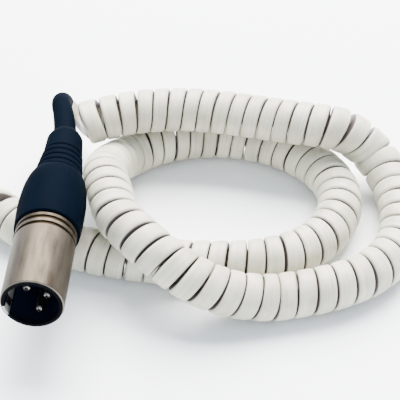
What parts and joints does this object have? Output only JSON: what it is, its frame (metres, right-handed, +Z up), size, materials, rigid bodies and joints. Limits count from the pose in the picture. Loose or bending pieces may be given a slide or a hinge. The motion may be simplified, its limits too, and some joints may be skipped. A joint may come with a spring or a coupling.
{
  "type": "curly microphone cable",
  "caption": "Curly ivory microphone cable lying in loops, with a plated pin plug at one end and a latching socket connector at the other.",
  "frame": {"origin": "on the table, under the middle of the box round the two connectors", "axes": "+Z up, +Y from the plug's pins towards its cable, +X from the far connector towards the loops"},
  "size_m": [0.1737, 0.1786, 0.0352],
  "materials": {
    "cord_jacket": "soft satin PVC",
    "nickel_plate": "satin nickel plate",
    "contact_plate": "bright silver plate on brass",
    "spring_steel": "plain steel",
    "insert_plastic": "moulded black",
    "bushing_plastic": "moulded blue-black",
    "relief_rubber": "matt blue-black",
    "chuck_plastic": "moulded natural",
    "wire_insulation_1": "grey insulation",
    "wire_insulation_2": "red insulation",
    "wire_insulation_3": "white insulation"
  },
  "bodies": {
    "cable": {"curly_cord": "cord_jacket", "male_shell": "nickel_plate", "male_insert": "insert_plastic", "male_pin_1": "contact_plate", "male_pin_2": "contact_plate", "male_pin_3": "contact_plate", "male_wire_1": "wire_insulation_1", "male_wire_2": "wire_insulation_2", "male_wire_3": "wire_insulation_3", "male_chuck": "chuck_plastic", "male_bushing": "bushing_plastic", "male_bend_relief": "relief_rubber", "female_shell": "nickel_plate", "female_insert": "insert_plastic", "female_socket_1": "contact_plate", "female_socket_2": "contact_plate", "female_socket_3": "contact_plate", "female_latch_pin": "spring_steel", "female_latch_spring": "spring_steel", "female_wire_1": "wire_insulation_1", "female_wire_2": "wire_insulation_2", "female_wire_3": "wire_insulation_3", "female_chuck": "chuck_plastic", "female_bushing": "bushing_plastic", "female_bend_relief": "relief_rubber"},
    "latch": {"female_latch": "spring_steel"}
  },
  "joints": [
    {"name": "latch_press", "type": "hinge", "parent": "cable", "child": "latch", "pos_m": [-0.02282, 0.0563, 0.01545], "axis": [-1, 0, 0], "range_deg": [0, 4], "stiffness_Nm_per_rad": 0.3, "springref_deg": -5.73, "deforming": ["female_latch_spring"]}
  ]
}
